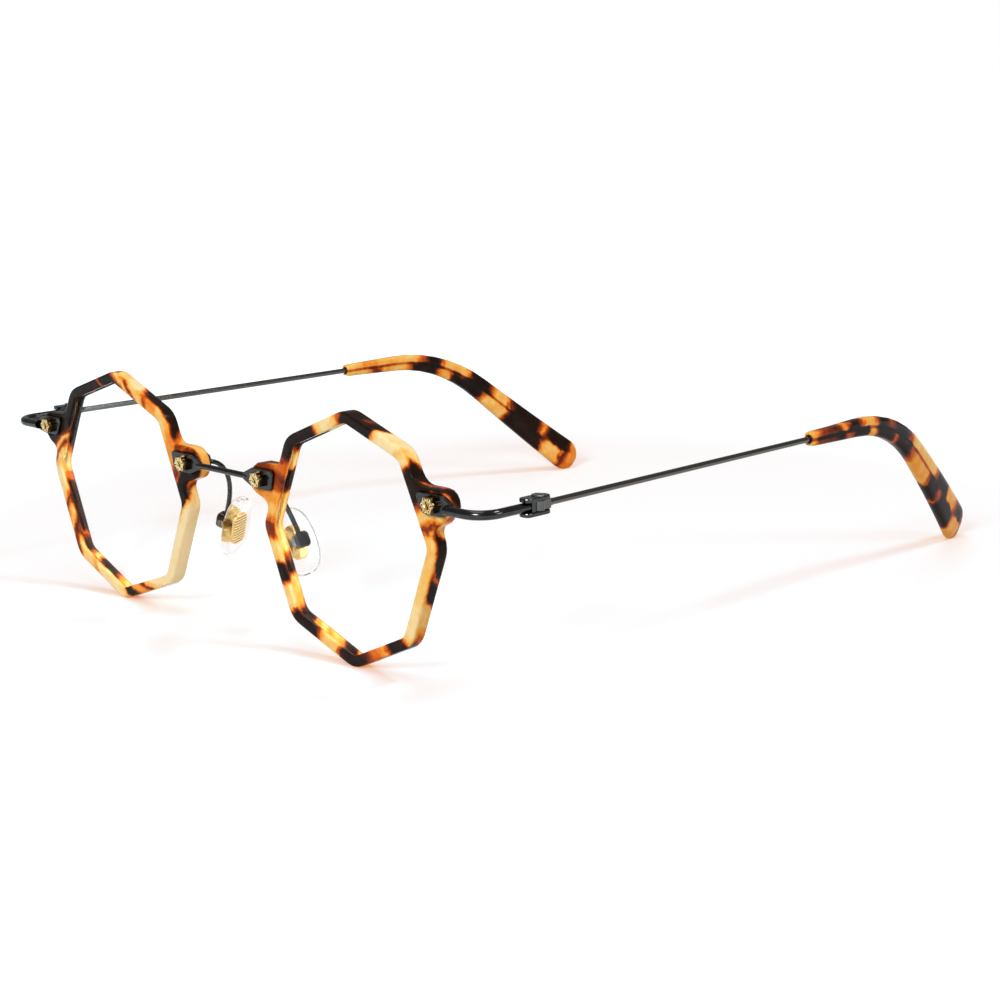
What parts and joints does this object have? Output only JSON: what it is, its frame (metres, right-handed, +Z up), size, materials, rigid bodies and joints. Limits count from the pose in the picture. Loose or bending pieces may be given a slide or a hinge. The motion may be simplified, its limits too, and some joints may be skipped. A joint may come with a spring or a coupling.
{
  "type": "geometric eyeglasses",
  "caption": "Octagonal eyeglasses with tortoiseshell rims and tips, a thin metal bridge, bent end pieces, folding wire temples and rocking nose pads.",
  "frame": {"origin": "on the table, under the middle of the whole object's box", "axes": "+X to the wearer's left, +Y from the front towards the temple tips, +Z up"},
  "size_m": [0.1362, 0.1502, 0.0436],
  "materials": {
    "acetate": "polished tortoiseshell acetate, honey amber with dark brown blotches",
    "gunmetal": "polished dark gunmetal plating",
    "screw_steel": "bright turned screw steel",
    "gold": "polished gold plating",
    "silicone": "clear soft silicone",
    "lens": "clear polished lens"
  },
  "bodies": {
    "front": {"rim_left": "acetate", "rim_right": "acetate", "lens_left": "lens", "lens_right": "lens", "bridge": "gunmetal", "bridge_screw_left": "gold", "bridge_screw_right": "gold", "bridge_nut_left": "gunmetal", "bridge_nut_right": "gunmetal", "endpiece_left": "gunmetal", "endpiece_right": "gunmetal", "endpiece_screw_left": "gold", "endpiece_screw_right": "gold", "endpiece_nut_left": "gunmetal", "endpiece_nut_right": "gunmetal", "hinge_screw_left": "screw_steel", "hinge_screw_right": "screw_steel", "pad_arm_left": "gunmetal", "pad_arm_right": "gunmetal", "pad_screw_left": "screw_steel", "pad_screw_right": "screw_steel"},
    "temple_left": {"temple_wire_left": "gunmetal", "temple_tip_left": "acetate"},
    "temple_right": {"temple_wire_right": "gunmetal", "temple_tip_right": "acetate"},
    "pad_left": {"pad_insert_left": "gold", "nose_pad_left": "silicone"},
    "pad_right": {"pad_insert_right": "gold", "nose_pad_right": "silicone"}
  },
  "joints": [
    {"name": "left_temple_hinge", "type": "hinge", "parent": "front", "child": "temple_left", "pos_m": [0.0669, -0.06179, 0.03088], "axis": [0, 0, 1], "range_deg": [0, 90]},
    {"name": "right_temple_hinge", "type": "hinge", "parent": "front", "child": "temple_right", "pos_m": [-0.0669, -0.06179, 0.03088], "axis": [0, 0, -1], "range_deg": [0, 86]},
    {"name": "left_pad_rock", "type": "hinge", "parent": "front", "child": "pad_left", "pos_m": [0.0113, -0.06509, 0.01704], "axis": [0.225, 0.9596, 0.1692], "range_deg": [-6, 6]},
    {"name": "right_pad_rock", "type": "hinge", "parent": "front", "child": "pad_right", "pos_m": [-0.0113, -0.06509, 0.01704], "axis": [-0.225, 0.9596, 0.1692], "range_deg": [-6, 6]}
  ]
}
